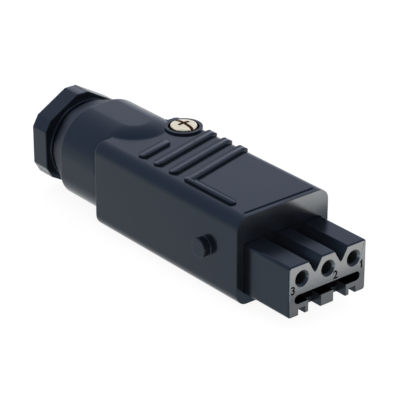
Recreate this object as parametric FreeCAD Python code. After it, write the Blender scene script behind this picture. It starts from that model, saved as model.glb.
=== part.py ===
import FreeCAD, Part
import math
import os
from FreeCAD import Vector

# Three pole and earth cable connector with socket contacts.
# The origin is the middle of the nose's front face.
# +X is the way the mating connector leaves, +Z is up, and the cable leaves along -X.
# All sizes are in millimetres. Heights are counted from the contacts' axes until the
# finished pieces are lifted to the origin.

# Housing
housing_width = 28.0
housing_height = 22.7
housing_length = 54.6
housing_top = 10.6            # height of the flat top above the contacts
edge_radius = 3.25            # the four long edges
end_bevel = 0.35              # small bevel on the end outlines
side_wall = 2.05
top_wall = 2.4
front_wall = 3.0
rear_wall = 2.6
line_setback = 1.5            # fine groove across the top, behind the front edge
line_width = 0.45
line_depth = 0.35
line_length = 21.0

# Locking studs on both sides
stud_radius = 2.45
stud_length = 2.0
stud_setback = 11.7           # behind the housing's front face
stud_drop = 0.6               # below the contacts

# Grip ribs on the top
rib_count = 4
rib_pitch = 5.87
rib_width = 2.8
rib_height = 0.82
rib_front_wall = 0.55         # upright part of the front side
rib_crest = 0.8               # crest behind the front side
rib_crest_bulge = 0.07        # how far the crest's arc stands above its chord
rib_rear_edge = 0.5           # height of the rear side
rib_hollow = 0.24             # sag of the finger hollow between the rear side and the crest
rib_end_height = 0.4          # the ends slope down to this height
rib_end_slope = 1.5           # length of that slope
rib_wrap = 0.5                # height of the ribs where they run over the far long edge
rib_slant = 15.0              # degrees from straight across
rib_setback = 24.4            # first rib's front side on the centre line, behind the front face
rib_near_end = 10.2           # reach on the -Y side
rib_far_end = 13.3            # reach on the +Y side, over the long edge
short_rib_end = 0.5           # the rearmost rib stops beside the screw boss
leg_width = 2.1
leg_setback = 6.6             # front end of the lengthwise leg, behind the front face
rib_root = 1.6                # depth of the ribs' foot below the flat top

# Boss and screw that hold the insert
boss_setback = 47.85
boss_inset = 5.15             # from the housing's +Y side
boss_radius = 4.8
boss_height = 0.5
head_radius = 3.45
head_height = 2.2
head_rise = 0.35              # top of the head above the boss
head_gap = 0.5                # round the head
screw_radius = 1.75
screw_grip = 8.0              # length of the thread in the insert
drive_width = 0.9             # slot right across the head, with a shorter cross arm
drive_arm = 3.4
drive_depth = 1.2
sleeve_wall = 1.5             # tube under the boss, round the screw

# Neck behind the housing
neck_half_width = 13.4
neck_rise = 1.8               # above the flat top
neck_foot = 1.4               # above the housing's bottom
neck_top_radius = 11.0
neck_low_radius = 6.9
neck_length = 15.0
pad_half_width = 3.7          # flat pad along the neck's top
hump_setback = 1.8            # centre of the hump's round front, behind the housing's rear face
hump_blend = 1.5              # hollow radius between the hump and the housing's top
shoulder_length = 5.6
rim_radius = 11.4
rim_length = 0.5

# Cable gland
gland_drop = 0.5              # gland axis below the contacts
thread_radius = 8.85
thread_clearance = 0.15
seat_depth = 10.0             # from the rim to the shoulder in the neck
passage_radius = 6.4
ring_thickness = 0.8          # washer between the seal and the nut
ring_bore_radius = 5.6
ring_clearance = 0.2          # washer and seal in the neck
seal_length = 5.0
seal_bore_radius = 5.0
shank_length = 5.3
collar_radius = 11.2
collar_length = 1.1
nut_across_flats = 24.0
nut_length = 5.8
nut_corner_facet = 3.35       # width of the flat that cuts each corner
nut_bore_radius = 5.6

# Contact insert
nose_length = 15.6
nose_width = 23.6
nose_height = 13.1
nose_top = 3.8                # above the contacts
nose_corner = 0.8
nose_bevel = 0.25
insert_depth = 24.0           # behind the housing's front face
slide_clearance = 0.15
stop_depth = 1.0              # stops in the housing behind the insert
stop_length = 1.5
groove_side = 3.95            # V grooves on top of the nose
groove_half_width = 2.15
groove_depth = 2.95
arm_thickness = 3.0
post_radius = 2.9

# Earth slot and the openings in the lip under it
slot_half_width = 10.0
slot_height = 2.25
slot_drop = 5.0               # slot centre below the contacts
slot_depth = 12.0
lip_gap_inner = 1.92
lip_gap_outer = 5.75
lip_gap_depth = 3.2
notch_inner = 6.75
notch_outer = 8.75
notch_height = 1.8

# Contacts
contact_count = 3
contact_pitch = 7.9
entry_chamfer = 0.6
entry_web = 3.2               # front wall of the insert, before the sockets
pin_radius = 1.5              # the holes in the insert and in the sockets
pin_depth = 13.0
barrel_radius = 2.2
barrel_clearance = 0.1
slit_width = 0.4
slit_length = 9.0
terminal_size = 5.4
terminal_setback = 6.4        # terminals behind the housing's front face
terminal_length = 13.0
terminal_clearance = 0.1
wire_radius = 1.5
wire_depth = 10.0
clamp_setback = 6.5           # clamp screw behind the terminal's front
clamp_radius = 1.45
clamp_clearance = 0.05
clamp_lift = 0.3              # slotted end of a clamp screw inside the insert's face
clamp_tip = 0.2               # tip of a clamp screw short of the wire's axis
clamp_access = 0.4            # room round the screw in the insert
driver_slot = 0.6
driver_depth = 0.8
earth_width = 8.0
earth_thickness = 0.6
earth_setback = 3.0
earth_bow = 0.5               # how far the sprung part bows into the slot
earth_bow_length = 7.0
earth_block_width = 6.0
earth_floor = 1.0             # insert's wall under the earth terminal
earth_wire_wall = 0.3         # brass above and below the earth wire

# Places worked out from the sizes
front_x = -nose_length
rear_x = front_x - housing_length
bottom_z = housing_top - housing_height
nose_bottom = nose_top - nose_height
ceiling_z = housing_top - top_wall
inner_half_width = housing_width / 2 - side_wall
cavity_front_x = front_x - front_wall
cavity_rear_x = rear_x + rear_wall
insert_rear_x = front_x - insert_depth
stud_x = front_x - stud_setback
boss_x = front_x - boss_setback
boss_side = housing_width / 2 - boss_inset
boss_top_z = housing_top + boss_height
head_seat_z = boss_top_z + head_rise - head_height
hole_radius = screw_radius + slide_clearance
neck_rear_x = rear_x - neck_length
neck_top_z = housing_top + neck_rise
neck_bottom_z = bottom_z + neck_foot
crown_y = neck_half_width - neck_top_radius
crown_z = neck_top_z - math.sqrt(neck_top_radius ** 2 - (pad_half_width - crown_y) ** 2)
hump_x = rear_x - hump_setback
rim_front_x = neck_rear_x - shoulder_length
rim_x = rim_front_x - rim_length
gland_z = -gland_drop
neck_bore_radius = thread_radius + thread_clearance
ring_radius = neck_bore_radius - ring_clearance
seat_x = rim_x + seat_depth
thrust_x = seat_x - seal_length
shank_x = thrust_x - ring_thickness
collar_x = shank_x - shank_length
hex_x = collar_x - collar_length
nut_rear_x = hex_x - nut_length
slot_roof_z = -slot_drop + slot_height / 2
earth_under_z = slot_roof_z - earth_thickness
earth_block_z = nose_bottom + earth_floor
earth_wire_z = (earth_under_z + earth_block_z) / 2
earth_wire_radius = (earth_under_z - earth_block_z) / 2 - earth_wire_wall
terminal_x = front_x - terminal_setback
clamp_x = terminal_x - clamp_setback
contact_sides = [(i - (contact_count - 1) / 2) * contact_pitch for i in range(contact_count)]
contact_lift = nose_height / 2 - nose_top


def box(x_low, x_high, y_low, y_high, z_low, z_high):
    """Block between two corners."""
    corner = Vector(x_low, y_low, z_low)
    return Part.makeBox(x_high - x_low, y_high - y_low, z_high - z_low, corner)


def rod(x_rear, x_front, radius, y=0.0, z=0.0):
    """Round bar along X."""
    return Part.makeCylinder(radius, x_front - x_rear, Vector(x_rear, y, z), Vector(1, 0, 0))


def post(x, y, z_low, z_high, radius):
    """Round bar along Z."""
    return Part.makeCylinder(radius, z_high - z_low, Vector(x, y, z_low))


def spun(points, y, z):
    """Solid turned about an axis along X from (x, radius) points."""
    outline = [Vector(x, radius, 0) for x, radius in points]
    face = Part.Face(Part.makePolygon(outline + outline[:1]))
    turned = face.revolve(Vector(0, 0, 0), Vector(1, 0, 0), 360)
    turned.translate(Vector(0, y, z))
    return turned


def section_corners(half_width, z_low, z_high, low_radius, high_radius):
    """The eight (y, z) points where the flats and the corner arcs of a section meet."""
    low_y = half_width - low_radius
    high_y = half_width - high_radius
    return [
        (-low_y, z_low),
        (low_y, z_low),
        (half_width, z_low + low_radius),
        (half_width, z_high - high_radius),
        (high_y, z_high),
        (-high_y, z_high),
        (-half_width, z_high - high_radius),
        (-half_width, z_low + low_radius),
    ]


def section(x, half_width, z_low, z_high, low_radius, high_radius):
    """Rounded section across X, with one radius for the lower and one for the upper corners."""
    points = [Vector(x, y, z) for y, z in section_corners(half_width, z_low, z_high, low_radius, high_radius)]
    diagonal = math.sqrt(0.5)
    edges = []
    for i in range(8):
        start = points[i]
        end = points[(i + 1) % 8]
        if i % 2 == 0:
            edges.append(Part.LineSegment(start, end).toShape())
            continue
        radius = low_radius if i in (1, 7) else high_radius
        out_y = 1 if i in (1, 3) else -1
        out_z = -1 if i in (1, 7) else 1
        centre_y = out_y * (half_width - radius)
        centre_z = z_low + radius if out_z < 0 else z_high - radius
        middle = Vector(x, centre_y + out_y * radius * diagonal, centre_z + out_z * radius * diagonal)
        edges.append(Part.Arc(start, middle, end).toShape())
    return Part.Wire(edges)


def prism(x_rear, x_front, half_width, z_low, z_high, low_radius, high_radius):
    """Bar along X with a rounded section."""
    wire = section(x_rear, half_width, z_low, z_high, low_radius, high_radius)
    return Part.Face(wire).extrude(Vector(x_front - x_rear, 0, 0))


def bevelled(solid, x_places, size):
    """Bevel the outline edges that lie flat at the given places along X."""
    edges = []
    for edge in solid.Edges:
        bounds = edge.BoundBox
        if any(max(abs(bounds.XMin - x), abs(bounds.XMax - x)) < 1e-6 for x in x_places):
            edges.append(edge)
    return solid.makeChamfer(size, edges)


def stadium(length, width, height):
    """Upright bar with round ends, from its first end along +Y."""
    radius = width / 2
    first = Vector(-radius, radius, 0)
    second = Vector(-radius, length - radius, 0)
    third = Vector(radius, length - radius, 0)
    fourth = Vector(radius, radius, 0)
    edges = [
        Part.LineSegment(first, second).toShape(),
        Part.Arc(second, Vector(0, length, 0), third).toShape(),
        Part.LineSegment(third, fourth).toShape(),
        Part.Arc(fourth, Vector(0, 0, 0), first).toShape(),
    ]
    return Part.Face(Part.Wire(edges)).extrude(Vector(0, 0, height))


def rib(length, width):
    """Grip rib along +Y, with an upright front side, a rounded crest, a hollow top and sloping ends."""
    front = width / 2
    foot = Vector(front, 0, -rib_root)
    wall_top = Vector(front, 0, rib_front_wall)
    crest = Vector(front - rib_crest, 0, rib_height)
    rear = Vector(-front, 0, rib_rear_edge)
    rear_foot = Vector(-front, 0, -rib_root)
    bulge = (wall_top + crest) / 2 + Vector(rib_crest_bulge, 0, rib_crest_bulge)
    hollow = (crest + rear) / 2 - Vector(0, 0, rib_hollow)
    edges = [
        Part.LineSegment(foot, wall_top).toShape(),
        Part.Arc(wall_top, bulge, crest).toShape(),
        Part.Arc(crest, hollow, rear).toShape(),
        Part.LineSegment(rear, rear_foot).toShape(),
        Part.LineSegment(rear_foot, foot).toShape(),
    ]
    bar = Part.Face(Part.Wire(edges)).extrude(Vector(0, length, 0))
    side_view = [
        Vector(-front, 0, -rib_root),
        Vector(-front, 0, rib_end_height),
        Vector(-front, rib_end_slope, rib_height),
        Vector(-front, length - rib_end_slope, rib_height),
        Vector(-front, length, rib_end_height),
        Vector(-front, length, -rib_root),
    ]
    sloped = Part.Face(Part.makePolygon(side_view + side_view[:1])).extrude(Vector(width, 0, 0))
    outline = stadium(length, width, rib_root + rib_height)
    outline.translate(Vector(0, 0, -rib_root))
    return bar.common(sloped).common(outline)


def grip_ribs():
    """Slanted ribs across the top; the first one turns into a lengthwise leg, the last one is short."""
    slant = math.radians(rib_slant)
    ribs = []
    for i in range(rib_count):
        far_end = short_rib_end if i == rib_count - 1 else rib_far_end
        one = rib((rib_near_end + far_end) / math.cos(slant), rib_width)
        one.rotate(Vector(0, 0, 0), Vector(0, 0, 1), rib_slant)
        centre_x = front_x - rib_setback - i * rib_pitch - rib_width / 2
        one.translate(Vector(centre_x + rib_near_end * math.tan(slant), -rib_near_end, housing_top))
        ribs.append(one)
    first_near_x = front_x - rib_setback - rib_width + rib_near_end * math.tan(slant)
    leg = rib(front_x - leg_setback - first_near_x, leg_width)
    leg.rotate(Vector(0, 0, 0), Vector(0, 0, 1), -90)
    leg.translate(Vector(first_near_x, -rib_near_end + leg_width / 2, housing_top))
    cover = prism(rear_x, front_x, housing_width / 2 + rib_wrap, bottom_z, housing_top + rib_height,
                  edge_radius, edge_radius + rib_wrap)
    return [one.common(cover) for one in ribs + [leg]]


def locking_stud(side):
    """Round stud on one side of the housing; side is -1 or 1."""
    root = housing_width / 2 - side_wall / 2
    base = Vector(stud_x, side * root, -stud_drop)
    length = side_wall / 2 + stud_length
    return Part.makeCylinder(stud_radius, length, base, Vector(0, side, 0))


def neck_outline():
    """Half of the neck's section as (y, z) corners and arc middles, from the pad down to the foot."""
    low_y = neck_half_width - neck_low_radius
    low_z = neck_bottom_z + neck_low_radius
    low_turn = neck_low_radius * math.sqrt(0.5)
    half_angle = math.atan2(neck_top_z - crown_z, pad_half_width - crown_y) / 2
    return {
        "pad": (pad_half_width, neck_top_z),
        "crown": (crown_y + neck_top_radius * math.cos(half_angle),
                  crown_z + neck_top_radius * math.sin(half_angle)),
        "side_top": (neck_half_width, crown_z),
        "side_low": (neck_half_width, low_z),
        "low": (low_y + low_turn, low_z - low_turn),
        "foot": (low_y, neck_bottom_z),
    }


def neck_section(x):
    """The neck's section across X: flat pad, round shoulders, upright sides and a rounded foot."""
    half = neck_outline()
    right = {name: Vector(x, y, z) for name, (y, z) in half.items()}
    left = {name: Vector(x, -y, z) for name, (y, z) in half.items()}
    edges = [
        Part.LineSegment(left["pad"], right["pad"]).toShape(),
        Part.Arc(right["pad"], right["crown"], right["side_top"]).toShape(),
        Part.LineSegment(right["side_top"], right["side_low"]).toShape(),
        Part.Arc(right["side_low"], right["low"], right["foot"]).toShape(),
        Part.LineSegment(right["foot"], left["foot"]).toShape(),
        Part.Arc(left["foot"], left["low"], left["side_low"]).toShape(),
        Part.LineSegment(left["side_low"], left["side_top"]).toShape(),
        Part.Arc(left["side_top"], left["crown"], left["pad"]).toShape(),
    ]
    return Part.Wire(edges)


def hump():
    """Front of the neck: its upper half turned about an upright axis, and blended into the flat top."""
    half = {name: Vector(hump_x, y, z) for name, (y, z) in neck_outline().items()}
    top = Vector(hump_x, 0, neck_top_z)
    base = Vector(hump_x, 0, crown_z)
    edges = [
        Part.LineSegment(top, half["pad"]).toShape(),
        Part.Arc(half["pad"], half["crown"], half["side_top"]).toShape(),
        Part.LineSegment(half["side_top"], base).toShape(),
        Part.LineSegment(base, top).toShape(),
    ]
    dome = Part.Face(Part.Wire(edges)).revolve(Vector(hump_x, 0, 0), Vector(0, 0, 1), -180)

    blend_rise = housing_top + hump_blend - crown_z
    blend_reach = math.sqrt((neck_top_radius + hump_blend) ** 2 - blend_rise ** 2)
    blend_angle = math.atan2(blend_rise, blend_reach)
    half_angle = (blend_angle + math.pi / 2) / 2

    def on_blend(angle):
        return Vector(hump_x, crown_y + blend_reach - hump_blend * math.cos(angle),
                      housing_top + hump_blend - hump_blend * math.sin(angle))

    start = on_blend(blend_angle)
    end = on_blend(math.pi / 2)
    root = Vector(hump_x, end.y, ceiling_z)
    inner = Vector(hump_x, start.y, ceiling_z)
    edges = [
        Part.Arc(start, on_blend(half_angle), end).toShape(),
        Part.LineSegment(end, root).toShape(),
        Part.LineSegment(root, inner).toShape(),
        Part.LineSegment(inner, start).toShape(),
    ]
    blend = Part.Face(Part.Wire(edges)).revolve(Vector(hump_x, 0, 0), Vector(0, 0, 1), -180)
    over_top = box(rear_x, front_x, -neck_half_width, neck_half_width, ceiling_z, neck_top_z)
    return [dome, blend.common(over_top)]


def neck_and_rim():
    """Neck with its hump over the housing's top, the shoulder behind it and the round rim."""
    neck = Part.Face(neck_section(neck_rear_x)).extrude(Vector(hump_x - neck_rear_x, 0, 0))
    throat = Part.Face(neck_section(hump_x)).extrude(Vector(rear_x - hump_x, 0, 0))
    throat = throat.common(box(hump_x, rear_x, -neck_half_width, neck_half_width, neck_bottom_z, crown_z))
    half = neck_outline()
    corners = [half[name] for name in ("pad", "side_top", "side_low", "foot")]
    corners = [(-y, z) for y, z in corners[:1]] + corners + [(-y, z) for y, z in reversed(corners[1:])]
    angles = [math.atan2(z - gland_z, y) for y, z in corners]
    circle_edges = []
    for i in range(8):
        start = angles[i]
        sweep = (start - angles[(i + 1) % 8]) % (2 * math.pi)
        points = []
        for part_of_sweep in (0.0, 0.5, 1.0):
            angle = start - part_of_sweep * sweep
            y = rim_radius * math.cos(angle)
            z = gland_z + rim_radius * math.sin(angle)
            points.append(Vector(rim_front_x, y, z))
        circle_edges.append(Part.Arc(*points).toShape())
    shoulder = Part.makeLoft([neck_section(neck_rear_x), Part.Wire(circle_edges)], True, True)
    rim = rod(rim_x, rim_front_x, rim_radius, 0, gland_z)
    return [neck, throat, shoulder, rim] + hump()


def housing():
    """One moulding: rounded box, ribs, studs, boss and neck, hollow for the insert and the cable."""
    half_width = housing_width / 2
    body = prism(rear_x, front_x, half_width, bottom_z, housing_top, edge_radius, edge_radius)
    body = bevelled(body, [front_x, rear_x], end_bevel)
    boss = post(boss_x, boss_side, ceiling_z, boss_top_z, boss_radius)
    body = body.fuse(neck_and_rim() + [locking_stud(-1), locking_stud(1), boss] + grip_ribs())

    corner = nose_corner
    opening_half = nose_width / 2 + slide_clearance
    opening_top = nose_top + slide_clearance
    mouth = prism(cavity_front_x, front_x, opening_half, nose_bottom, opening_top, corner, corner)
    chamber = prism(cavity_rear_x, cavity_front_x, inner_half_width, nose_bottom, ceiling_z, corner, corner)
    sleeve = post(boss_x, boss_side, opening_top, ceiling_z, hole_radius + sleeve_wall)
    chamber = chamber.cut(sleeve)
    for side in (-1, 1):
        wall_y = side * inner_half_width
        edge_y = side * (inner_half_width - stop_depth)
        stop = box(insert_rear_x - stop_length, insert_rear_x, min(wall_y, edge_y), max(wall_y, edge_y),
                   nose_bottom, nose_top)
        chamber = chamber.cut(stop)

    passage = rod(rim_x, cavity_rear_x, passage_radius, 0, gland_z)
    gland_bore = rod(rim_x, seat_x, neck_bore_radius, 0, gland_z)
    head_room = post(boss_x, boss_side, head_seat_z, boss_top_z + head_height, head_radius + head_gap)
    screw_hole = post(boss_x, boss_side, opening_top, head_seat_z, hole_radius)
    line = box(front_x - line_setback - line_width, front_x - line_setback, -line_length / 2,
               line_length / 2, housing_top - line_depth, housing_top + line_depth)
    return body.cut([mouth, chamber, passage, gland_bore, head_room, screw_hole, line]).removeSplitter()


def contact_insert():
    """Moulded insert: nose, terminal block and the arm with the post for the retaining screw."""
    body = prism(insert_rear_x, 0, nose_width / 2, nose_bottom, nose_top, nose_corner, nose_corner)
    body = bevelled(body, [0], nose_bevel)
    arm = box(boss_x, insert_rear_x, boss_side - post_radius, boss_side + post_radius - nose_corner,
              nose_bottom, nose_bottom + arm_thickness)
    pillar = post(boss_x, boss_side, nose_bottom + nose_corner, nose_top, post_radius)
    body = body.fuse([arm, pillar])

    cuts = [post(boss_x, boss_side, nose_top - screw_grip - slide_clearance, nose_top, hole_radius)]
    groove_floor = nose_top - groove_depth
    for side in (-groove_side, groove_side):
        corners = [
            Vector(front_x, side - groove_half_width, nose_top),
            Vector(front_x, side, groove_floor),
            Vector(front_x, side + groove_half_width, nose_top),
        ]
        cuts.append(Part.Face(Part.makePolygon(corners + corners[:1])).extrude(Vector(nose_length, 0, 0)))

    barrel_room = barrel_radius + barrel_clearance
    pocket_half = terminal_size / 2 + terminal_clearance
    for y in contact_sides:
        cuts.append(spun([(0, 0), (0, pin_radius + entry_chamfer), (-entry_chamfer, pin_radius),
                          (-entry_web, pin_radius), (-entry_web, 0)], y, 0))
        cuts.append(rod(terminal_x, -entry_web, barrel_room, y, 0))
        cuts.append(box(insert_rear_x, terminal_x, y - pocket_half, y + pocket_half,
                        -pocket_half, pocket_half))
        cuts.append(post(clamp_x, y, 0, nose_top, clamp_radius + clamp_access))

    slot = stadium(2 * slot_half_width, slot_height, slot_depth)
    slot.rotate(Vector(0, 0, 0), Vector(0, 1, 0), 90)
    slot.translate(Vector(-slot_depth, -slot_half_width, -slot_drop))
    cuts.append(slot)
    strip_half = earth_width / 2 + terminal_clearance
    cuts.append(box(insert_rear_x, -slot_depth, -strip_half, strip_half,
                    earth_under_z - terminal_clearance, slot_roof_z))
    block_half = earth_block_width / 2 + terminal_clearance
    cuts.append(box(insert_rear_x, terminal_x, -block_half, block_half, earth_block_z, slot_roof_z))
    cuts.append(post(clamp_x, 0, nose_bottom, earth_block_z, clamp_radius + clamp_access))

    for side in (-1, 1):
        gap_sides = sorted([side * lip_gap_inner, side * lip_gap_outer])
        cuts.append(box(-lip_gap_depth, 0, *gap_sides, nose_bottom, -slot_drop))
        notch_sides = sorted([side * notch_inner, side * notch_outer])
        cuts.append(box(front_x, 0, *notch_sides, nose_bottom, nose_bottom + notch_height))
    return body.cut(cuts).removeSplitter()


def socket_contact(y):
    """Turned brass socket, slit at the front, with a square wire terminal behind."""
    barrel = rod(terminal_x, -entry_web, barrel_radius, y, 0)
    half = terminal_size / 2
    rear_end = terminal_x - terminal_length
    block = box(rear_end, terminal_x, y - half, y + half, -half, half)
    pin_hole = rod(-entry_web - pin_depth, -entry_web, pin_radius, y, 0)
    slit_rear = -entry_web - slit_length
    half_slit = slit_width / 2
    slit = box(slit_rear, -entry_web, y - half_slit, y + half_slit, -barrel_radius, barrel_radius)
    wire_hole = rod(rear_end, rear_end + wire_depth, wire_radius, y, 0)
    clamp_hole = post(clamp_x, y, 0, half, clamp_radius + clamp_clearance)
    return barrel.fuse(block).cut([pin_hole, slit, wire_hole, clamp_hole])


def clamp_screw(length):
    """Headless clamp screw, upright, with its slotted end at the origin."""
    screw = post(0, 0, -length, 0, clamp_radius)
    half = driver_slot / 2
    return screw.cut(box(-clamp_radius, clamp_radius, -half, half, -driver_depth, 0))


def terminal_screw(y):
    """Clamp screw of one socket, let in from the insert's top."""
    screw = clamp_screw(nose_top - clamp_lift - clamp_tip)
    screw.translate(Vector(clamp_x, y, nose_top - clamp_lift))
    return screw


def earth_screw():
    """Clamp screw of the earth terminal, let in from below."""
    slotted_z = nose_bottom + clamp_lift
    screw = clamp_screw(earth_wire_z - clamp_tip - slotted_z)
    screw.rotate(Vector(0, 0, 0), Vector(1, 0, 0), 180)
    screw.translate(Vector(clamp_x, 0, slotted_z))
    return screw


def earth_contact():
    """Brass strip under the slot's roof, bowed into the slot near its front end."""
    rear = terminal_x - terminal_length
    front = -earth_setback
    bow_rear = front - earth_bow_length
    bow_middle = (front + bow_rear) / 2

    def at(x, z):
        return Vector(x, -earth_width / 2, z)

    edges = [
        Part.LineSegment(at(rear, slot_roof_z), at(bow_rear, slot_roof_z)).toShape(),
        Part.Arc(at(bow_rear, slot_roof_z), at(bow_middle, slot_roof_z - earth_bow),
                 at(front, slot_roof_z)).toShape(),
        Part.LineSegment(at(front, slot_roof_z), at(front, earth_under_z)).toShape(),
        Part.Arc(at(front, earth_under_z), at(bow_middle, earth_under_z - earth_bow),
                 at(bow_rear, earth_under_z)).toShape(),
        Part.LineSegment(at(bow_rear, earth_under_z), at(rear, earth_under_z)).toShape(),
        Part.LineSegment(at(rear, earth_under_z), at(rear, slot_roof_z)).toShape(),
    ]
    return Part.Face(Part.Wire(edges)).extrude(Vector(0, earth_width, 0))


def earth_terminal():
    """Brass block under the strip's tail, with a wire hole and a clamp hole from below."""
    rear_end = terminal_x - terminal_length
    half = earth_block_width / 2
    block = box(rear_end, terminal_x, -half, half, earth_block_z, earth_under_z)
    wire_hole = rod(rear_end, rear_end + wire_depth, earth_wire_radius, 0, earth_wire_z)
    clamp_hole = post(clamp_x, 0, earth_block_z, earth_wire_z, clamp_radius + clamp_clearance)
    return block.cut([wire_hole, clamp_hole])


def insert_screw():
    """Screw from the boss down into the insert's post; its head has a slot and a shorter cross arm."""
    top_z = head_seat_z + head_height
    shank = post(boss_x, boss_side, nose_top - screw_grip, head_seat_z, screw_radius)
    head = post(boss_x, boss_side, head_seat_z, top_z, head_radius)
    half = drive_width / 2
    floor_z = top_z - drive_depth
    slot = box(boss_x - head_radius, boss_x + head_radius, boss_side - half, boss_side + half, floor_z, top_z)
    arm = box(boss_x - half, boss_x + half, boss_side - drive_arm / 2, boss_side + drive_arm / 2,
              floor_z, top_z)
    return head.fuse(shank).cut([slot, arm])


def gland_nut():
    """Six sided nut with cut corners, a collar and a threaded shank, open right through."""
    flat = nut_across_flats / 2
    facet = flat / math.cos(math.pi / 6) - nut_corner_facet / 2 * math.tan(math.pi / 6)
    points = []
    for i in range(6):
        angle = math.radians(90 + 60 * i)
        out = Vector(0, math.cos(angle), math.sin(angle))
        along = Vector(0, -math.sin(angle), math.cos(angle))
        for side in (-1, 1):
            corner = out * facet + along * (side * nut_corner_facet / 2)
            points.append(corner + Vector(nut_rear_x, 0, gland_z))
    hexagon = Part.Face(Part.makePolygon(points + points[:1])).extrude(Vector(nut_length, 0, 0))
    collar = rod(hex_x, collar_x, collar_radius, 0, gland_z)
    shank = rod(collar_x, shank_x, thread_radius, 0, gland_z)
    bore = rod(nut_rear_x, shank_x, nut_bore_radius, 0, gland_z)
    return hexagon.fuse([collar, shank]).cut(bore).removeSplitter()


def gland_ring(x_front, thickness, bore_radius):
    """Plain ring in the neck, behind the given place."""
    ring = rod(x_front - thickness, x_front, ring_radius, 0, gland_z)
    return ring.cut(rod(x_front - thickness, x_front, bore_radius, 0, gland_z))


os.makedirs("parts", exist_ok=True)

nodes = {
    "housing": housing(),
    "contact_insert": contact_insert(),
    "earth_contact": earth_contact(),
    "earth_terminal": earth_terminal(),
    "terminal_screw_earth": earth_screw(),
    "insert_screw": insert_screw(),
    "gland_seal": gland_ring(seat_x, seal_length, seal_bore_radius),
    "thrust_ring": gland_ring(thrust_x, ring_thickness, ring_bore_radius),
    "gland_nut": gland_nut(),
}
for number, y in enumerate(reversed(contact_sides), start=1):
    nodes[f"socket_contact_{number}"] = socket_contact(y)
    nodes[f"terminal_screw_{number}"] = terminal_screw(y)

for name, shape in nodes.items():
    shape.translate(Vector(0, 0, contact_lift))
    shape.exportStep(f"parts/{name}.step")
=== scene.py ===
import math

import bmesh
import bpy
from mathutils import Matrix, Vector


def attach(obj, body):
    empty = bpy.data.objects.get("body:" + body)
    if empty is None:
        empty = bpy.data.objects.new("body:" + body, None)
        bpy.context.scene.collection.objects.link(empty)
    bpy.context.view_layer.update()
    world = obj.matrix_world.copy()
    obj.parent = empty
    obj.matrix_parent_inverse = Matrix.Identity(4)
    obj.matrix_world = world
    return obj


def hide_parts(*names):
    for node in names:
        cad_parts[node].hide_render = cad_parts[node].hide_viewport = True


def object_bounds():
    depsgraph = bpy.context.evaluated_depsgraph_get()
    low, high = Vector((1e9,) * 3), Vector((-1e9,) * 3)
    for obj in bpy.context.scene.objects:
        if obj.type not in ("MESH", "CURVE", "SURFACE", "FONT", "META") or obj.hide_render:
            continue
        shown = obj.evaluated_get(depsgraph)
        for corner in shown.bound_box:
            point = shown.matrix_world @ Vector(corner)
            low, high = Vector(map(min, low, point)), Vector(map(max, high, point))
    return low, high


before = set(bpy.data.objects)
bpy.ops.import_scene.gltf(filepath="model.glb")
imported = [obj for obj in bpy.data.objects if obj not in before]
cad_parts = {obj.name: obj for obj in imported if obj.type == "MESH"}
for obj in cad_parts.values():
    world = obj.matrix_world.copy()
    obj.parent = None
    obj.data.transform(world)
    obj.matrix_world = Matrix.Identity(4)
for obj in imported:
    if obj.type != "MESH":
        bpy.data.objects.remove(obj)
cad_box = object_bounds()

# Housing
# One hollow moulding of blue black polyamide, with grip ribs, side studs, a screw boss and the neck.
# It comes from a finely polished mould, with sharp looking but slightly rounded edges. Only the shoulder,
# which runs from the neck's flattened section down to its round rim, has a matt finish.
MM = 0.001


def linear(hex_colour):
    """An sRGB hex colour as the linear colour that a shader socket takes."""
    channels = [int(hex_colour[i:i + 2], 16) / 255 for i in (0, 2, 4)]
    return tuple(c / 12.92 if c <= 0.04045 else ((c + 0.055) / 1.055) ** 2.4 for c in channels) + (1.0,)


def add(material, kind, settings=None, inputs=None):
    """One node with its settings; an input is a value, or the output socket that it is linked to."""
    node = material.node_tree.nodes.new("ShaderNode" + kind)
    for name, value in (settings or {}).items():
        setattr(node, name, value)
    for name, value in (inputs or {}).items():
        if isinstance(value, bpy.types.NodeSocket):
            material.node_tree.links.new(value, node.inputs[name])
        else:
            node.inputs[name].default_value = value
    return node


def new_material(name):
    """An empty node material and its surface output."""
    material = bpy.data.materials.new(name)
    material.use_nodes = True
    material.node_tree.nodes.clear()
    return material, add(material, "OutputMaterial")


def moulded_polyamide(name, roughness):
    """Moulded polyamide: blue black with a bluish gloss, and a little uneven where the melt flowed."""
    material, surface = new_material(name)
    place = add(material, "TexCoord").outputs["Object"]
    grain_size = 0.45 * MM      # the real grain is near 0.05 mm; drawn coarser so that it shows
    grain_depth = 0.01 * MM
    flow_size = 9 * MM
    gloss_drift = 0.03
    grain = add(material, "TexNoise", None, {"Vector": place, "Scale": 1 / grain_size, "Detail": 2.0})
    flow = add(material, "TexNoise", None, {"Vector": place, "Scale": 1 / flow_size, "Detail": 3.0})
    tone = add(material, "ValToRGB", None, {"Fac": flow.outputs["Fac"]})
    tone.color_ramp.elements[0].position = 0.35
    tone.color_ramp.elements[0].color = linear("101418")
    tone.color_ramp.elements[1].position = 0.65
    tone.color_ramp.elements[1].color = linear("12161B")
    gloss = add(material, "MapRange", None, {
        "Value": flow.outputs["Fac"], "From Min": 0.3, "From Max": 0.7,
        "To Min": roughness - gloss_drift, "To Max": roughness + gloss_drift})
    bump = add(material, "Bump", None, {
        "Height": grain.outputs["Fac"], "Strength": 0.15, "Distance": grain_depth})
    shader = add(material, "BsdfPrincipled", None, {
        "Base Color": tone.outputs["Color"], "Roughness": gloss.outputs["Result"],
        "Normal": bump.outputs["Normal"], "IOR": 1.38, "Specular Tint": linear("A2D1FF")})
    material.node_tree.links.new(shader.outputs["BSDF"], surface.inputs["Surface"])
    return material


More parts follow.
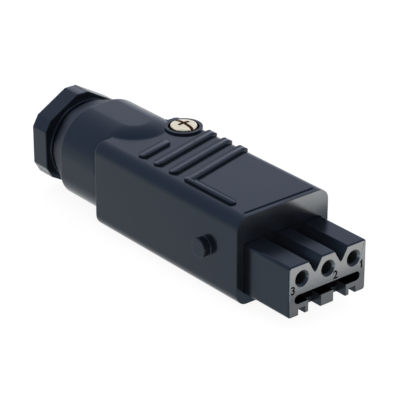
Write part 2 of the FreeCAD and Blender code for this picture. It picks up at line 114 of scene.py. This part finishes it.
def pick(piece, kind, test):
    """In edit mode, select only the faces, edges or vertices that pass the test."""
    bpy.ops.mesh.select_mode(type=kind)
    bpy.ops.mesh.select_all(action="DESELECT")
    mesh = bmesh.from_edit_mesh(piece.data)
    for part in {"VERT": mesh.verts, "EDGE": mesh.edges, "FACE": mesh.faces}[kind]:
        part.select_set(test(part))
    bmesh.update_edit_mesh(piece.data)


def select_alone(piece):
    """Select one object and make it the active one."""
    bpy.ops.object.select_all(action="DESELECT")
    piece.select_set(True)
    bpy.context.view_layer.objects.active = piece


def merged_copy(node_name):
    """A copy of a CAD node's loose triangles, merged into whole faces."""
    piece = bpy.data.objects.new(node_name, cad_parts[node_name].data.copy())
    bpy.context.collection.objects.link(piece)
    select_alone(piece)
    bpy.ops.mesh.customdata_custom_splitnormals_clear()
    bpy.ops.object.mode_set(mode="EDIT")
    bpy.ops.mesh.select_all(action="SELECT")
    bpy.ops.mesh.remove_doubles(threshold=0.001 * MM)
    bpy.ops.mesh.dissolve_limited(angle_limit=math.radians(0.5))
    bpy.ops.object.mode_set(mode="OBJECT")
    return piece


def inside(place, *boxes):
    """Whether a place is in one of some boxes, each its lowest and highest X, Y and Z in millimetres."""
    return any(all(low * MM < value < high * MM for value, (low, high) in zip(place, box)) for box in boxes)


def middle_of(edge):
    """The middle of an edge."""
    return (edge.verts[0].co + edge.verts[1].co) / 2


def is_outer(edge):
    """Whether an edge is a clear outer corner."""
    return edge.is_convex and edge.calc_face_angle(0) > math.radians(30)


def round_edges(piece, width, sharp_boxes=(), soft_boxes=()):
    """Round a piece's outer edges, except in the sharp boxes, and all its edges in the soft boxes."""
    def is_rounded(edge):
        if inside(middle_of(edge), *soft_boxes):
            return True
        return is_outer(edge) and not inside(middle_of(edge), *sharp_boxes)

    select_alone(piece)
    bpy.ops.object.mode_set(mode="EDIT")
    pick(piece, "EDGE", is_rounded)
    bpy.ops.mesh.bevel(offset=width, segments=3, affect="EDGES", clamp_overlap=False)
    bpy.ops.mesh.select_all(action="SELECT")
    bpy.ops.mesh.remove_doubles(threshold=0.002 * MM)
    bpy.ops.object.mode_set(mode="OBJECT")
    bpy.ops.object.shade_smooth_by_angle(angle=math.radians(35))
    weighting = piece.modifiers.new("weighting", "WEIGHTED_NORMAL")
    weighting.keep_sharp = True
    bpy.ops.object.modifier_apply(modifier=weighting.name)


def finish(piece, name, material, slot, body, *replaced):
    """Name a finished piece, give it its material and seat it on the body that carries it."""
    piece.name = name
    piece.data.name = name
    piece.data.materials.clear()
    piece.data.materials.append(material)
    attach(piece, body)
    if replaced:
        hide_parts(*replaced)


def from_gland_axis(place):
    """How far a place is from the axis of the neck, the seal and the nut."""
    return math.hypot(place.y, place.z - gland_z)


gland_z = 2.25 * MM
front_middle = Vector((0, 0, 2 * MM))
behind_front = -15.7 * MM
mouth_half_width = 12.5 * MM
mouth_half_height = 9 * MM
front_growth = (1, 1.018, 1.022)        # makes the bevel round the front as narrow as the real one
shoulder_skin = 10 * MM                 # the shoulder's outer faces lie outside this, and its bore within
long_edge = 1.5 * MM
long_edge_cuts = 7                      # so that the neck's straight edges step as finely as the round rim
rib_rounding = 0.08 * MM
edge_rounding = 0.25 * MM
# Boxes in millimetres that pick out places on the housing
shoulder = ((-90.7, -85.3), (-15, 15), (-12, 16))
shoulder_start = ((-85.3, -85.1), (-15, 15), (-12, 16))
front_edges = ((-16, -15.2), (-15, 15), (-10, 14))
bent_rib_corner = ((-46, -35), (-11.5, -7), (13.2, 16))
boss_top = ((-68.6, -58.3), (3.7, 14), (13.7, 14))
rib_tops = ((-61, -20), (-12, 14.5), (12.2, 14.5))
hump_corners = [((-70.5, -67.9), sides, (12.8, 13.7)) for sides in ((-9.1, -7.6), (7.6, 9.1))]
stud_feet = [((-30, -24.5), sides, (-0.5, 4.8)) for sides in ((-14.1, -13.9), (13.9, 14.1))]

housing = merged_copy("housing")
bpy.ops.object.mode_set(mode="EDIT")
pick(housing, "FACE", lambda f: inside(f.calc_center_median(), shoulder)
     and from_gland_axis(f.calc_center_median()) > shoulder_skin)
bpy.ops.mesh.delete(type="FACE")
pick(housing, "EDGE", lambda e: e.is_boundary and e.calc_length() > long_edge)
bpy.ops.mesh.subdivide(number_cuts=long_edge_cuts)
pick(housing, "EDGE", lambda e: e.is_boundary)
bpy.ops.mesh.bridge_edge_loops()
pick(housing, "VERT", lambda v: v.co.x > behind_front and (
    abs(v.co.y) > mouth_half_width or abs(v.co.z - front_middle.z) > mouth_half_height))
bpy.ops.transform.resize(value=front_growth, center_override=front_middle)
pick(housing, "EDGE", lambda e: is_outer(e) and inside(middle_of(e), boss_top, rib_tops)
     and not inside(middle_of(e), bent_rib_corner))
bpy.ops.mesh.bevel(offset=rib_rounding, segments=2, affect="EDGES")
bpy.ops.object.mode_set(mode="OBJECT")
round_edges(housing, edge_rounding, [front_edges, boss_top, rib_tops, *hump_corners],
            [shoulder_start, *stud_feet])

# The polished mould leaves a satin skin, and the matt one scatters what the satin one mirrors.
satin_polyamide = moulded_polyamide("blue black polyamide, satin moulded", 0.2)
matt_polyamide = moulded_polyamide("blue black polyamide, matt shoulder", 0.5)
finish(housing, "moulded_housing", satin_polyamide, "housing_plastic", "connector", "housing")
housing.data.materials.append(matt_polyamide)
for face in housing.data.polygons:
    if inside(face.center, shoulder) and from_gland_axis(face.center) > shoulder_skin:
        face.material_index = 1

# Contact insert
# A second moulding of the same plastic, which slides in from the front and carries the contacts.
# Its grooves have rounded floors, and the earth slot's inside and gap ends are painted black as shade.
groove_drop = 0.7 * MM
groove_rounding = 0.8 * MM
nose_rounding = 0.12 * MM
gap_shade_z = -5        # in millimetres; the gap ends under the earth slot are painted black as shade above it
behind_nose = ((-90, -15.3), (-20, 20), (-20, 20))
groove_floors = [((-16, 1), sides, (2.7, 3.7)) for sides in ((-4.05, -3.85), (3.85, 4.05))]
slot_inside = ((-12.3, -0.05), (-10.1, 10.1), (-3.5, -1.0))
gap_ends = ((-3.3, -3.1), (-6, 6), (-7, -3.3))
gap_shade = ((-3.3, -3.1), (-6, 6), (gap_shade_z, -3.3))


def clouded(name, cloud_size, detail, tones, roughness, looks, tone_range=(0, 1)):
    """A material whose tone drifts in clouds of a real size, and its roughness too where two are given."""
    material, surface = new_material(name)
    place = add(material, "TexCoord").outputs["Object"]
    cloud = add(material, "TexNoise", None, {"Vector": place, "Scale": 1 / cloud_size, "Detail": detail})
    tone = add(material, "ValToRGB", None, {"Fac": cloud.outputs["Fac"]})
    for stop, position, colour in zip(tone.color_ramp.elements, tone_range, tones):
        stop.position = position
        stop.color = linear(colour)
    if isinstance(roughness, tuple):
        smoothest, roughest = roughness
        gloss = add(material, "MapRange", None, {
            "Value": cloud.outputs["Fac"], "To Min": smoothest, "To Max": roughest})
        roughness = gloss.outputs["Result"]
    shader = add(material, "BsdfPrincipled", None, {
        "Base Color": tone.outputs["Color"], "Roughness": roughness, **looks})
    material.node_tree.links.new(shader.outputs["BSDF"], surface.inputs["Surface"])
    return material


insert = merged_copy("contact_insert")
bpy.ops.object.mode_set(mode="EDIT")
pick(insert, "VERT", lambda v: inside(v.co, *groove_floors))
bpy.ops.transform.translate(value=(0, 0, -groove_drop))
pick(insert, "EDGE", lambda e: any(all(inside(v.co, groove) for v in e.verts) for groove in groove_floors))
bpy.ops.mesh.bevel(offset=groove_rounding, segments=5, affect="EDGES")
pick(insert, "FACE", lambda f: inside(f.calc_center_median(), gap_ends))
bpy.ops.mesh.bisect(plane_co=(0, 0, gap_shade_z * MM), plane_no=(0, 0, 1))
bpy.ops.object.mode_set(mode="OBJECT")
round_edges(insert, nose_rounding, [behind_nose])

# The nose is a little duller than the housing, and its slot is painted a glossless black as shade.
nose_polyamide = moulded_polyamide("blue black polyamide, insert", 0.25)
shade_black_cloud_size = 0.3 * MM
shade_black_polyamide = clouded("black polyamide, painted shade", shade_black_cloud_size, 2.0, ("020203", "060607"),
                           0.8, {"Specular IOR Level": 0.0})
finish(insert, "moulded_insert", nose_polyamide, "insert_plastic", "connector", "contact_insert")
# Faces inside the earth slot and at the upper gap ends take the black painted shade.
insert.data.materials.append(shade_black_polyamide)
for face in insert.data.polygons:
    if inside(face.center, slot_inside, gap_shade):
        face.material_index = 1

# Contact numerals
# Moulded with the insert, one beside each contact hole, and painted a glossless black as shade, as dark as
# the holes.
# The digits are only a hair proud of the nose's face, and the 1 has a long flag.
numeral_height = 2.1 * MM
digit_share = 0.73              # a digit's height as a share of its type size
numeral_sink = -0.04 * MM
numeral_half_thickness = 0.06 * MM
stroke_growth = 0.07 * MM
numeral_places = {"1": (10.47 * MM, 0.38 * MM), "2": (2.36 * MM, 0.23 * MM), "3": (-10.57 * MM, 0.36 * MM)}
facing_front = (math.pi / 2, 0, math.pi / 2)
flag_size = (2 * numeral_half_thickness, 0.75 * MM, 0.3 * MM)
flag_side = -0.25 * MM
flag_rise = 0.7 * MM
flag_slope = math.radians(40)


def join_meshes(piece, *others):
    """Make loose meshes one piece."""
    select_alone(piece)
    for other in others:
        other.select_set(True)
    bpy.ops.object.join()


def block(size, middle, turn=(0, 0, 0)):
    """A block of a given size in its place, to be joined to a piece or cut from it."""
    bpy.ops.object.select_all(action="DESELECT")
    bpy.ops.mesh.primitive_cube_add(size=1.0, location=middle, rotation=turn)
    bpy.context.object.scale = size
    bpy.ops.object.transform_apply(location=True, rotation=True, scale=True)
    return bpy.context.object


for digit, (side, height) in numeral_places.items():
    bpy.ops.object.select_all(action="DESELECT")
    bpy.ops.object.text_add(location=(numeral_sink, side, height), rotation=facing_front)
    numeral = bpy.context.object
    numeral.data.body = digit
    numeral.data.size = numeral_height / digit_share
    numeral.data.align_x = "CENTER"
    numeral.data.align_y = "CENTER"
    numeral.data.extrude = numeral_half_thickness
    numeral.data.offset = stroke_growth
    bpy.ops.object.convert(target="MESH")
    bpy.ops.object.transform_apply(location=True, rotation=True, scale=True)
    if digit == "1":
        flag_middle = (numeral_sink, side + flag_side, height + flag_rise)
        join_meshes(numeral, block(flag_size, flag_middle, (flag_slope, 0, 0)))
    # Each digit takes the black painted shade.
    finish(numeral, "contact_numeral_" + digit, shade_black_polyamide, "insert_plastic", "connector")

# Contacts
# Three turned brass sockets, and a stamped bronze earth strip, painted black as shade, and its brass block.
# All are pushed into the insert from the rear, and only a little of them shows in the holes and the slot.


def turned_metal(name, dark, light, roughness):
    """A copper alloy with fine tool marks round it and a tone that is uneven from handling."""
    material, surface = new_material(name)
    place = add(material, "TexCoord").outputs["Object"]
    mark_spacing = 0.3 * MM     # real tool marks are near 0.1 mm apart; drawn coarser so that they show
    mark_depth = 0.01 * MM
    stain_size = 4 * MM
    wave_spacing = 0.314        # the wave texture's own spacing at a scale of one
    marks = add(material, "TexWave", {"bands_direction": "X"}, {
        "Vector": place, "Scale": wave_spacing / mark_spacing, "Distortion": 0.6})
    stain = add(material, "TexNoise", None, {"Vector": place, "Scale": 1 / stain_size, "Detail": 4.0})
    tone = add(material, "ValToRGB", None, {"Fac": stain.outputs["Fac"]})
    tone.color_ramp.elements[0].color = linear(dark)
    tone.color_ramp.elements[1].color = linear(light)
    bump = add(material, "Bump", None, {
        "Height": marks.outputs["Fac"], "Strength": 0.2, "Distance": mark_depth})
    shader = add(material, "BsdfPrincipled", None, {
        "Base Color": tone.outputs["Color"], "Metallic": 1.0, "Roughness": roughness,
        "Normal": bump.outputs["Normal"]})
    material.node_tree.links.new(shader.outputs["BSDF"], surface.inputs["Surface"])
    return material


def dress(material, *node_names):
    """Give CAD nodes one material."""
    for node_name in node_names:
        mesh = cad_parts[node_name].data
        mesh.materials.clear()
        mesh.materials.append(material)


# The brass glints yellow in the holes, and the bronze is painted near black as shade in the slot.
bright_brass = turned_metal("turned brass", "B98F3E", "DDB968", 0.3)
shade_dark_bronze = turned_metal("rolled bronze, painted dark as shade", "0C0A08", "17120C", 0.5)
dress(bright_brass, "socket_contact_1", "socket_contact_2", "socket_contact_3", "earth_terminal")
# The earth strip's near black colour is painted shade.
dress(shade_dark_bronze, "earth_contact")

# Clamp screws
# Small zinc plated steel screws, one in each terminal, which hold the wires.
# The plating is a cool pale grey with dull and bright spots.
zinc_spot_size = 0.8 * MM
zinc = clouded("zinc plated steel", zinc_spot_size, 3.0, ("A9ADB2", "CDD0D2"), (0.25, 0.42),
               {"Metallic": 1.0})
dress(zinc, "terminal_screw_1", "terminal_screw_2", "terminal_screw_3", "terminal_screw_earth")

# Insert screw
# A pale gold plated steel screw through the boss on top, which holds the insert in the housing.
# Its low domed head has a slot right across and a shorter arm, both painted dark brown inside as shade.
screw_x = -63.45 * MM
screw_y = 8.85 * MM
head_seat = 12.0 * MM
head_edge = 13.85 * MM
head_radius = 3.45 * MM
head_rounding = 0.07 * MM
dome_steps = ((0.2, 0.35), (0.5, 0.2), (0.8, 0.18), (1.0, 0.1))     # inset and rise of each, in millimetres
slot_width = 0.9 * MM
slot_length = 2.2 * head_radius
arm_length = 3.4 * MM
slot_floor = 13.0 * MM
cutter_height = 2 * MM
screw_tip = -1.45 * MM
shank_radius = 1.4 * MM
tip_rounding = 0.3 * MM
screw_thread_root = 1.3 * MM
screw_thread_radius = 1.75 * MM
screw_pitch = 0.8 * MM
screw_turns = 9
first_turn = screw_tip + 0.5 * MM


def apply_boolean(piece, tool, operation):
    """Join a tool's solid to a piece or cut it away, and remove the tool."""
    modifier = piece.modifiers.new("cut", "BOOLEAN")
    modifier.operation = operation
    modifier.solver = "EXACT"
    modifier.object = tool
    bpy.context.view_layer.objects.active = piece
    bpy.ops.object.modifier_apply(modifier=modifier.name)
    bpy.data.objects.remove(tool)


def thread_ridge(root_radius, crest_radius, pitch, turns):
    """The ridge of a screw thread, wound up the Z axis from the origin."""
    root_share = 0.9            # the ridge's width at its root, as a share of the pitch
    crest_share = 0.2           # its width at its crest, as a share of that at its root
    steps_a_turn = 48
    middle_radius = (root_radius + crest_radius) / 2
    bpy.ops.object.select_all(action="DESELECT")
    bpy.ops.mesh.primitive_plane_add(size=1.0, rotation=(math.pi / 2, 0, 0))
    ridge = bpy.context.object
    ridge.scale = (crest_radius - root_radius, root_share * pitch, 1)
    bpy.ops.object.transform_apply(location=False, rotation=True, scale=True)
    bpy.ops.object.mode_set(mode="EDIT")
    bpy.ops.mesh.delete(type="ONLY_FACE")
    bpy.ops.mesh.select_all(action="SELECT")
    bpy.ops.transform.translate(value=(middle_radius, 0, 0))
    pick(ridge, "VERT", lambda v: v.co.x > middle_radius)
    bpy.ops.transform.resize(value=(1, 1, crest_share), center_override=(crest_radius, 0, 0))
    bpy.ops.object.mode_set(mode="OBJECT")
    winding = ridge.modifiers.new("winding", "SCREW")
    winding.axis = "Z"
    winding.angle = 2 * math.pi
    winding.screw_offset = pitch
    winding.iterations = turns
    winding.steps = steps_a_turn
    winding.render_steps = steps_a_turn
    bpy.ops.object.modifier_apply(modifier=winding.name)
    bpy.ops.object.mode_set(mode="EDIT")
    bpy.ops.mesh.select_mode(type="EDGE")
    bpy.ops.mesh.select_all(action="DESELECT")
    bpy.ops.mesh.select_non_manifold()
    bpy.ops.mesh.fill_holes(sides=0)
    bpy.ops.mesh.select_all(action="SELECT")
    bpy.ops.mesh.normals_make_consistent(inside=False)
    bpy.ops.object.mode_set(mode="OBJECT")
    return ridge


def lay(piece, placing):
    """Put a piece in its place and keep the place in its mesh."""
    select_alone(piece)
    piece.matrix_world = placing
    bpy.ops.object.transform_apply(location=True, rotation=True, scale=True)


def upright_bar(low, high, radius, sides):
    """A plain bar on the screw's axis, with so many sides that it looks round."""
    bpy.ops.object.select_all(action="DESELECT")
    bpy.ops.mesh.primitive_cylinder_add(vertices=sides, radius=radius, depth=high - low,
                                        location=(screw_x, screw_y, (low + high) / 2))
    bpy.ops.object.transform_apply(location=True, rotation=True, scale=True)
    return bpy.context.object


screw = upright_bar(head_seat, head_edge, head_radius, 72)
bpy.ops.object.mode_set(mode="EDIT")
pick(screw, "FACE", lambda f: f.normal.z > 0.9)
for inset, rise in dome_steps:
    bpy.ops.mesh.inset(thickness=inset * MM, depth=rise * MM)
bpy.ops.object.mode_set(mode="OBJECT")
for length, width in ((slot_length, slot_width), (slot_width, arm_length)):
    cutter_middle = (screw_x, screw_y, slot_floor + cutter_height / 2)
    apply_boolean(screw, block((length, width, cutter_height), cutter_middle), "DIFFERENCE")
round_edges(screw, head_rounding)
screw_shank = upright_bar(screw_tip, head_seat, shank_radius, 48)
round_edges(screw_shank, tip_rounding)
screw_ridge = thread_ridge(screw_thread_root, screw_thread_radius, screw_pitch, screw_turns)
lay(screw_ridge, Matrix.Translation((screw_x, screw_y, first_turn)))
join_meshes(screw, screw_shank, screw_ridge)

# The plating mirrors the studio in a pale yellow, brighter in some spots, and the painted slot shade hardly
# shines.
plating_cloud_size = 1.2 * MM
plating = clouded("pale gold plated steel", plating_cloud_size, 3.0, ("EADCB4", "FCF3D6"), (0.2, 0.34),
                  {"Metallic": 1.0}, (0.3, 0.7))
slot_shade_cloud_size = 0.6 * MM
slot_shade_brown = clouded("brown steel, painted slot shade", slot_shade_cloud_size, 3.0, ("5A351B", "7F5029"), 0.6,
                  {"Metallic": 0.4})
finish(screw, "plated_insert_screw", plating, "screw_brass", "connector", "insert_screw")
screw.data.materials.append(slot_shade_brown)
half = 0.51             # of a slot's width or length, a hair more than half, so that its walls count too
steep = 0.98            # a slot's wall points upwards by less than this, and the dome's top by more
below_slot = 0.99 * slot_floor
near_floor = 0.05 * MM
# The walls and floor of the slot and arm take the dark brown painted shade.
for face in screw.data.polygons:
    along, across = abs(face.center.x - screw_x), abs(face.center.y - screw_y)
    in_slot = across < half * slot_width
    in_arm = along < half * slot_width and across < half * arm_length
    is_wall = face.center.z > below_slot and face.normal.z < steep
    is_floor = abs(face.center.z - slot_floor) < near_floor
    if (in_slot or in_arm) and (is_wall or is_floor):
        face.material_index = 1

# Gland seal
# A thick ring of black rubber in the neck, which grips the cable when the nut squeezes it.
# Moulded rubber is a dull black with a faint grey bloom.
bloom_size = 2.5 * MM
rubber = clouded("moulded black rubber", bloom_size, 4.0, ("161616", "242423"), 0.65, {"IOR": 1.52})
dress(rubber, "gland_seal")

# Thrust ring
# A flat washer of grey nylon between the nut and the seal, so that the nut can turn without dragging it.
# It is moulded, with a soft even sheen and hardly any change of tone.
nylon_cloud_size = 1.5 * MM
nylon = clouded("grey nylon, moulded", nylon_cloud_size, 3.0, ("83837F", "94948F"), 0.45, {"IOR": 1.53})
dress(nylon, "thrust_ring")

# Gland nut
# A six sided nut of the same polyamide as the housing, screwed into the neck by its threaded shank.
# It is moulded with cut corners, a round collar behind the thread and a rounded mouth for the cable.
nut_rear = -99.3 * MM
hex_front = -93.5 * MM
collar_front = -92.4 * MM
shank_front = -87.1 * MM
across_flats = 24.0 * MM
corner_facet = 3.35 * MM
collar_radius = 11.2 * MM
thread_radius = 8.85 * MM
thread_root = 8.05 * MM
ridge_root = thread_root - 0.1 * MM
thread_pitch = 1.5 * MM
thread_turns = 2
thread_start = collar_front + 1.1 * MM
nut_bore = 5.6 * MM
mouth_rounding = 0.9 * MM
nut_rounding = 0.25 * MM
overlap = 1 * MM                # how far a bar runs into the nut that it is joined to, or past what it cuts
along_x = Matrix.Rotation(math.pi / 2, 4, "Y")
flat_up = Matrix.Rotation(math.pi / 6, 4, "Z")


def gland_bar(rear, front, radius, sides=96, turn=along_x):
    """A plain bar on the gland's axis, round unless it has few sides."""
    bpy.ops.object.select_all(action="DESELECT")
    bpy.ops.mesh.primitive_cylinder_add(vertices=sides, radius=radius, depth=front - rear,
                                        location=((rear + front) / 2, 0, gland_z), rotation=turn.to_euler())
    bpy.ops.object.transform_apply(location=True, rotation=True, scale=True)
    return bpy.context.object


def is_mouth(vertex):
    """Whether a vertex of the nut is on the rear edge of its bore."""
    return vertex.co.x < nut_rear + 0.01 * MM and from_gland_axis(vertex.co) < nut_bore + 0.1 * MM


nut = gland_bar(nut_rear, hex_front, across_flats / 2 / math.cos(math.pi / 6), 6, along_x @ flat_up)
bpy.ops.object.mode_set(mode="EDIT")
pick(nut, "EDGE", lambda e: abs(e.verts[0].co.x - e.verts[1].co.x) > 1 * MM)
bpy.ops.mesh.bevel(offset_type="WIDTH", offset=corner_facet, segments=1, affect="EDGES")
bpy.ops.object.mode_set(mode="OBJECT")
apply_boolean(nut, gland_bar(hex_front - overlap, collar_front, collar_radius), "UNION")
apply_boolean(nut, gland_bar(collar_front - overlap / 2, shank_front, thread_root), "UNION")
apply_boolean(nut, gland_bar(nut_rear - overlap, shank_front + overlap, nut_bore), "DIFFERENCE")
bpy.ops.object.mode_set(mode="EDIT")
pick(nut, "EDGE", lambda e: all(is_mouth(v) for v in e.verts))
bpy.ops.mesh.bevel(offset=mouth_rounding, segments=5, affect="EDGES")
bpy.ops.object.mode_set(mode="OBJECT")
round_edges(nut, nut_rounding)
nut_ridge = thread_ridge(ridge_root, thread_radius, thread_pitch, thread_turns)
lay(nut_ridge, Matrix.Translation((thread_start, 0, gland_z)) @ along_x)
join_meshes(nut, nut_ridge)

# The nut has the housing's satin skin, a trace duller from handling.
nut_polyamide = moulded_polyamide("blue black polyamide, gland nut", 0.22)
finish(nut, "threaded_gland_nut", nut_polyamide, "nut_plastic", "gland_nut", "gland_nut")

# Studio
# A plain white floor and pale blue white surroundings, which are dimmer on the camera's side.
# A warm softbox and a dim strip lie on the floor before the nose, and show in its front as a soft sheen.
# A third softbox stands in front as a fill, and nothing mirrors it.
floor_z = cad_box[0].z
floor_width = 6.0
bpy.ops.object.select_all(action="DESELECT")
bpy.ops.mesh.primitive_plane_add(size=floor_width, location=(0, 0, floor_z))
floor = bpy.context.object
floor.name = "floor"

# The paint keeps a faint shadow under the object, and is white to the camera and in mirrors.
floor_paint, floor_surface = new_material("white studio floor")
path = add(floor_paint, "LightPath")
mirrored = add(floor_paint, "Math", {"operation": "MAXIMUM"}, {
    0: path.outputs["Is Glossy Ray"], 1: path.outputs["Is Transmission Ray"]})
matt_paint = add(floor_paint, "BsdfDiffuse", None, {"Color": linear("E7E7E7")})
shadow_paint = add(floor_paint, "BsdfDiffuse", None, {"Color": linear("7C7C7C")})
camera_glow = add(floor_paint, "Emission", None, {"Color": linear("FFFFFF"), "Strength": 0.89})
mirror_glow = add(floor_paint, "Emission", None, {"Color": linear("FFFFFF"), "Strength": 1.0})
seen = add(floor_paint, "AddShader", None, {
    0: shadow_paint.outputs["BSDF"], 1: camera_glow.outputs["Emission"]})
to_camera = add(floor_paint, "MixShader", None, {
    0: path.outputs["Is Camera Ray"], 1: matt_paint.outputs["BSDF"], 2: seen.outputs["Shader"]})
to_mirrors = add(floor_paint, "MixShader", None, {
    0: mirrored.outputs["Value"], 1: to_camera.outputs["Shader"], 2: mirror_glow.outputs["Emission"]})
floor_paint.node_tree.links.new(to_mirrors.outputs["Shader"], floor_surface.inputs["Surface"])
floor.data.materials.append(floor_paint)

camera_side = (0.7, -0.57, 0.44)
world = bpy.data.worlds.new("studio")
bpy.context.scene.world = world
world.use_nodes = True
background = world.node_tree.nodes["Background"]
direction = add(world, "TexCoord").outputs["Generated"]
toward_camera = add(world, "VectorMath", {"operation": "DOT_PRODUCT"}, {0: direction, 1: camera_side})
dimming = add(world, "MapRange", {"interpolation_type": "SMOOTHSTEP"}, {
    "Value": toward_camera.outputs["Value"], "From Min": 0.2, "From Max": 0.95,
    "To Min": 1.0, "To Max": 0.6})
background.inputs["Color"].default_value = linear("E7ECFF")
world.node_tree.links.new(dimming.outputs["Result"], background.inputs["Strength"])

warm_white = linear("FFE3C7")[:3]
low_z = floor_z + 0.5 * MM
facing_up = (math.pi, 0, 0)
fill_place = Vector((210, -170, 130)) * MM
fill_turn = fill_place.to_track_quat("Z", "Y").to_euler()


def softbox(name, width, depth, radiance, place, turn):
    """A warm rectangular light, which the camera does not see."""
    data = bpy.data.lights.new(name, "AREA")
    data.shape = "RECTANGLE"
    data.size = width
    data.size_y = depth
    data.color = warm_white
    data.energy = radiance * math.pi * width * depth
    light = bpy.data.objects.new(name, data)
    bpy.context.collection.objects.link(light)
    light.location = place
    light.rotation_euler = turn
    light.visible_camera = False
    return light


softbox("low softbox", 66 * MM, 90 * MM, 12.8, (47 * MM, 15 * MM, low_z), facing_up)
softbox("low strip", 6.5 * MM, 34 * MM, 4.0, (7.8 * MM, 7 * MM, low_z), facing_up)
fill = softbox("front softbox", 100 * MM, 100 * MM, 14.0, fill_place, fill_turn)
fill.visible_glossy = False

# Camera
# It stands in front of the nose, to the right, and looks down on the connector.
# A long lens keeps the edges nearly parallel.
camera_place = Vector((313.0, -292.2, 227.95)) * MM
camera_target = Vector((-40.70, -4.44, 6.01)) * MM
camera_data = bpy.data.cameras.new("camera")
camera_data.lens = 191.07
camera_data.sensor_width = 36.0
camera = bpy.data.objects.new("camera", camera_data)
bpy.context.collection.objects.link(camera)
camera.location = camera_place
camera.rotation_euler = (camera_target - camera_place).to_track_quat("-Z", "Y").to_euler()
bpy.context.scene.camera = camera
bpy.context.scene.view_settings.view_transform = "Standard"
